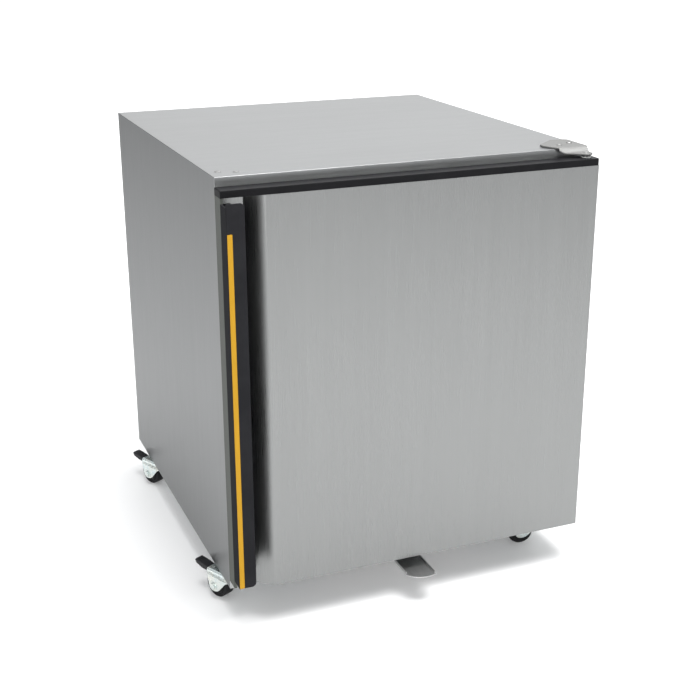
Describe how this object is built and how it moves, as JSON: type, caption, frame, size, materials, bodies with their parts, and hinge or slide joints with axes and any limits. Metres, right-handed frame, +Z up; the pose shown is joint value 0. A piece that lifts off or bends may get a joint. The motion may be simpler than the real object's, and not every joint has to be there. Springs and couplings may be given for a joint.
{
  "type": "undercounter refrigerator",
  "caption": "Stainless undercounter refrigerator cabinet with a side-hinged insulated door, full-height pull, shelves, condensate tray and locking swivel casters.",
  "frame": {"origin": "floor point under the middle of the object's bounding box", "axes": "+Z up, the door faces -Y, +X towards the hinge side"},
  "size_m": [0.7448, 0.7928, 0.8053],
  "materials": {
    "stainless": "satin brushed",
    "galvanised": "satin",
    "zinc": "bright zinc plate",
    "black_plastic": "satin moulded",
    "grey_plastic": "satin moulded",
    "white_plastic": "satin moulded",
    "black_rubber": "matte",
    "foam": "matte rigid foam",
    "yellow_plastic": "satin moulded",
    "aluminium": "satin",
    "copper": "satin drawn tube",
    "black_paint": "satin painted"
  },
  "bodies": {
    "cabinet": {"outer_shell": "stainless", "base_pan": "galvanised", "back_panel": "galvanised", "rear_grille": "galvanised", "power_inlet": "black_plastic", "bay_divider": "galvanised", "inner_liner": "aluminium", "foam_body": "foam", "breaker_frame": "grey_plastic", "hinge_hole_plug_1": "zinc", "hinge_hole_plug_2": "zinc", "top_hinge_strap": "stainless", "top_hinge_pin": "zinc", "bottom_hinge_bracket": "stainless", "bottom_hinge_pin": "zinc", "compressor": "black_paint", "compressor_terminal_cover": "black_plastic", "condenser_coil": "aluminium", "condenser_fan_motor": "galvanised", "discharge_line": "copper", "evaporator_cover": "white_plastic", "evaporator_coil": "aluminium", "evaporator_fan_motor": "galvanised", "thermostat_body": "white_plastic", "upper_shelf": "zinc", "lower_shelf": "zinc", "upper_shelf_rail_left": "stainless", "upper_shelf_rail_right": "stainless", "lower_shelf_rail_left": "stainless", "lower_shelf_rail_right": "stainless", "tray_runner": "galvanised", "front_left_caster_plate": "zinc", "rear_left_caster_plate": "zinc", "front_right_caster_plate": "zinc", "rear_right_caster_plate": "zinc"},
    "door": {"door_skin": "stainless", "door_foam": "foam", "door_liner": "white_plastic", "door_edge_trim": "black_plastic", "door_gasket": "black_rubber", "door_pull": "black_plastic", "pull_stripe": "yellow_plastic", "lower_bushing": "white_plastic", "upper_bushing": "white_plastic"},
    "thermostat_knob": {"thermostat_knob": "black_plastic"},
    "condenser_fan": {"condenser_fan_blade": "aluminium"},
    "evaporator_fan": {"evaporator_fan_blade": "aluminium"},
    "tray": {"condensate_tray": "stainless"},
    "front_left_caster": {"front_left_caster_fork": "zinc"},
    "front_left_wheel": {"front_left_caster_wheel": "black_rubber"},
    "front_left_pedal": {"front_left_caster_pedal": "black_plastic"},
    "rear_left_caster": {"rear_left_caster_fork": "zinc"},
    "rear_left_wheel": {"rear_left_caster_wheel": "black_rubber"},
    "rear_left_pedal": {"rear_left_caster_pedal": "black_plastic"},
    "front_right_caster": {"front_right_caster_fork": "zinc"},
    "front_right_wheel": {"front_right_caster_wheel": "black_rubber"},
    "front_right_pedal": {"front_right_caster_pedal": "black_plastic"},
    "rear_right_caster": {"rear_right_caster_fork": "zinc"},
    "rear_right_wheel": {"rear_right_caster_wheel": "black_rubber"},
    "rear_right_pedal": {"rear_right_caster_pedal": "black_plastic"}
  },
  "joints": [
    {"name": "door_hinge", "type": "hinge", "parent": "cabinet", "child": "door", "pos_m": [0.327, -0.3375, 0.076], "axis": [0, 0, 1], "range_deg": [0, 100]},
    {"name": "thermostat_turn", "type": "hinge", "parent": "cabinet", "child": "thermostat_knob", "pos_m": [0.2644, -0.2552, 0.695], "axis": [-1, 0, 0], "range_deg": [0, 270]},
    {"name": "condenser_fan_spin", "type": "hinge", "parent": "cabinet", "child": "condenser_fan", "pos_m": [0.175, 0.2993, 0.185], "axis": [0, 1, 0], "continuous": true},
    {"name": "evaporator_fan_spin", "type": "hinge", "parent": "cabinet", "child": "evaporator_fan", "pos_m": [0.13, 0.238, 0.677], "axis": [0, 1, 0], "continuous": true},
    {"name": "tray_slide", "type": "slide", "parent": "cabinet", "child": "tray", "axis": [0, -1, 0], "range_m": [0, 0.24]},
    {"name": "front_left_swivel", "type": "hinge", "parent": "cabinet", "child": "front_left_caster", "pos_m": [-0.317, -0.2605, 0], "axis": [0, 0, 1], "continuous": true},
    {"name": "front_left_roll", "type": "hinge", "parent": "front_left_caster", "child": "front_left_wheel", "pos_m": [-0.33516, -0.22486, 0.025], "axis": [-0.891, -0.454, 0], "continuous": true},
    {"name": "front_left_brake", "type": "hinge", "parent": "front_left_caster", "child": "front_left_pedal", "pos_m": [-0.34424, -0.20704, 0.0475], "axis": [-0.891, -0.454, 0], "range_deg": [0, 12]},
    {"name": "rear_left_swivel", "type": "hinge", "parent": "cabinet", "child": "rear_left_caster", "pos_m": [-0.317, 0.2595, 0], "axis": [0, 0, 1], "continuous": true},
    {"name": "rear_left_roll", "type": "hinge", "parent": "rear_left_caster", "child": "rear_left_wheel", "pos_m": [-0.33516, 0.29514, 0.025], "axis": [-0.891, -0.454, 0], "continuous": true},
    {"name": "rear_left_brake", "type": "hinge", "parent": "rear_left_caster", "child": "rear_left_pedal", "pos_m": [-0.34424, 0.31296, 0.0475], "axis": [-0.891, -0.454, 0], "range_deg": [0, 12]},
    {"name": "front_right_swivel", "type": "hinge", "parent": "cabinet", "child": "front_right_caster", "pos_m": [0.317, -0.2605, 0], "axis": [0, 0, 1], "continuous": true},
    {"name": "front_right_roll", "type": "hinge", "parent": "front_right_caster", "child": "front_right_wheel", "pos_m": [0.27787, -0.25218, 0.025], "axis": [-0.2079, -0.9781, 0], "continuous": true},
    {"name": "front_right_brake", "type": "hinge", "parent": "front_right_caster", "child": "front_right_pedal", "pos_m": [0.25831, -0.24802, 0.0475], "axis": [-0.2079, -0.9781, 0], "range_deg": [0, 12]},
    {"name": "rear_right_swivel", "type": "hinge", "parent": "cabinet", "child": "rear_right_caster", "pos_m": [0.317, 0.2595, 0], "axis": [0, 0, 1], "continuous": true},
    {"name": "rear_right_roll", "type": "hinge", "parent": "rear_right_caster", "child": "rear_right_wheel", "pos_m": [0.33516, 0.29514, 0.025], "axis": [-0.891, 0.454, 0], "continuous": true},
    {"name": "rear_right_brake", "type": "hinge", "parent": "rear_right_caster", "child": "rear_right_pedal", "pos_m": [0.34424, 0.31296, 0.0475], "axis": [-0.891, 0.454, 0], "range_deg": [0, 12]}
  ]
}
